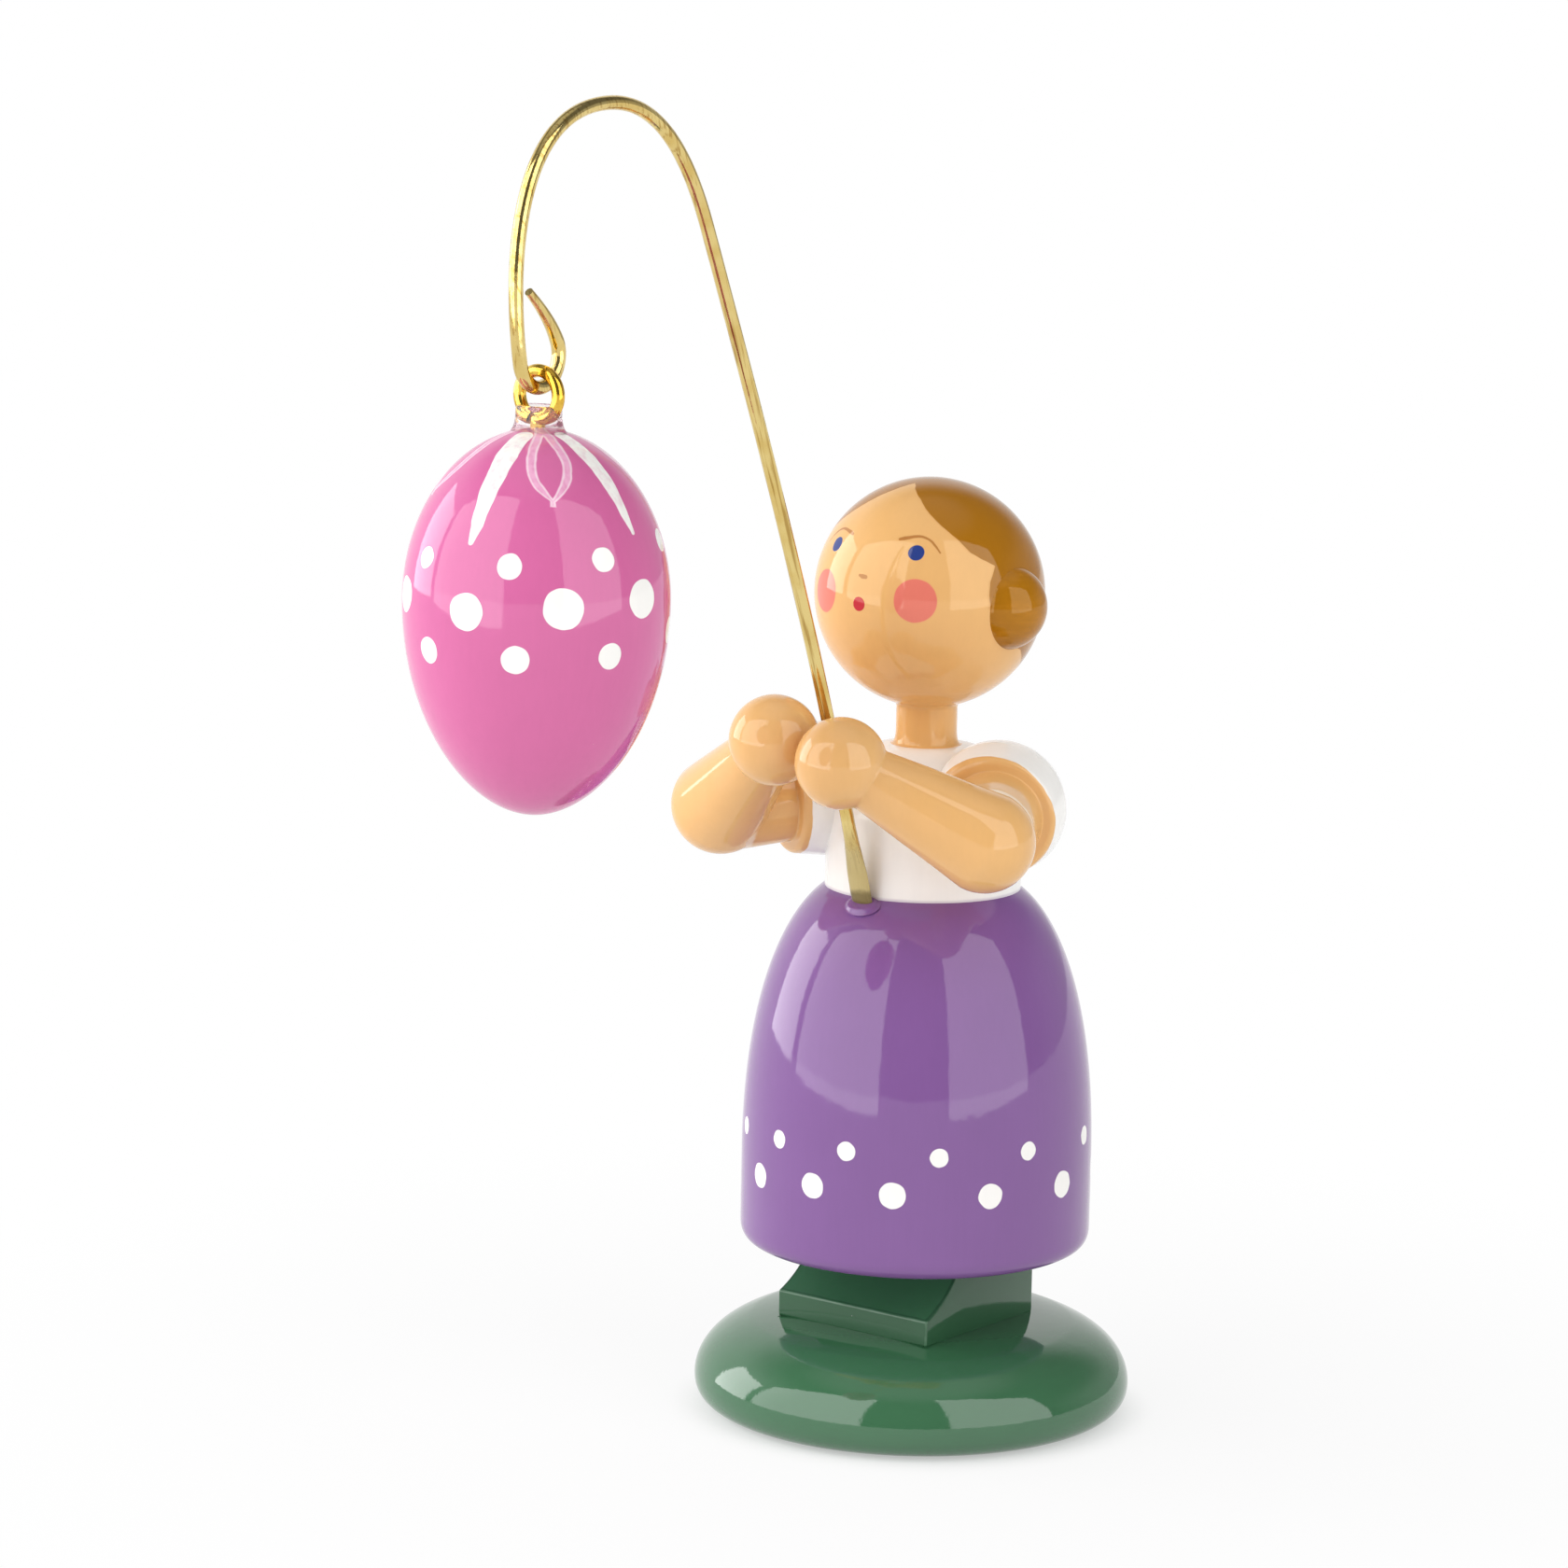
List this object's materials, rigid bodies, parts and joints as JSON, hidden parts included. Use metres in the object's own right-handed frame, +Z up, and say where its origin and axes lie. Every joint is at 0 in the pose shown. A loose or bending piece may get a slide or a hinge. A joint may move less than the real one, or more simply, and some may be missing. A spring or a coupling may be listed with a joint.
{
  "type": "wooden figure",
  "caption": "Turned wooden figure on a round base, holding a bent brass staff from which a painted egg hangs and swings.",
  "frame": {"origin": "centre of the base's flat underside", "axes": "+Z up along the figure, the figure faces -Y, its left hand is on the +X side"},
  "size_m": [0.0332, 0.073, 0.1005],
  "materials": {
    "green_lacquer": "wood under glossy green lacquer",
    "violet_lacquer": "wood under glossy violet lacquer with painted white dots",
    "white_lacquer": "wood under glossy white lacquer",
    "flesh_lacquer": "wood under glossy flesh-coloured lacquer",
    "hair_lacquer": "wood under glossy brown lacquer",
    "pink_lacquer": "wood under glossy pink lacquer with painted white dots and strokes",
    "brass_wire": "bright drawn brass wire",
    "gold_brass": "bright gilt brass",
    "bare_wood": "bare sanded wood"
  },
  "bodies": {
    "figure": {"base_disc": "green_lacquer", "foot_block": "green_lacquer", "base_dowel": "bare_wood", "skirt": "violet_lacquer", "blouse": "white_lacquer", "head": "flesh_lacquer", "bun_left": "hair_lacquer", "bun_right": "hair_lacquer", "upper_arm_left": "white_lacquer", "upper_arm_right": "white_lacquer", "forearm_left": "flesh_lacquer", "forearm_right": "flesh_lacquer", "shoulder_dowel_left": "bare_wood", "shoulder_dowel_right": "bare_wood", "staff": "brass_wire"},
    "hanging_egg": {"egg": "pink_lacquer", "screw_eye": "gold_brass"}
  },
  "joints": [
    {"name": "egg_swing", "type": "hinge", "parent": "figure", "child": "hanging_egg", "pos_m": [0, -0.0473, 0.08115], "axis": [0, 1, 0], "range_deg": [-80, 80]}
  ]
}
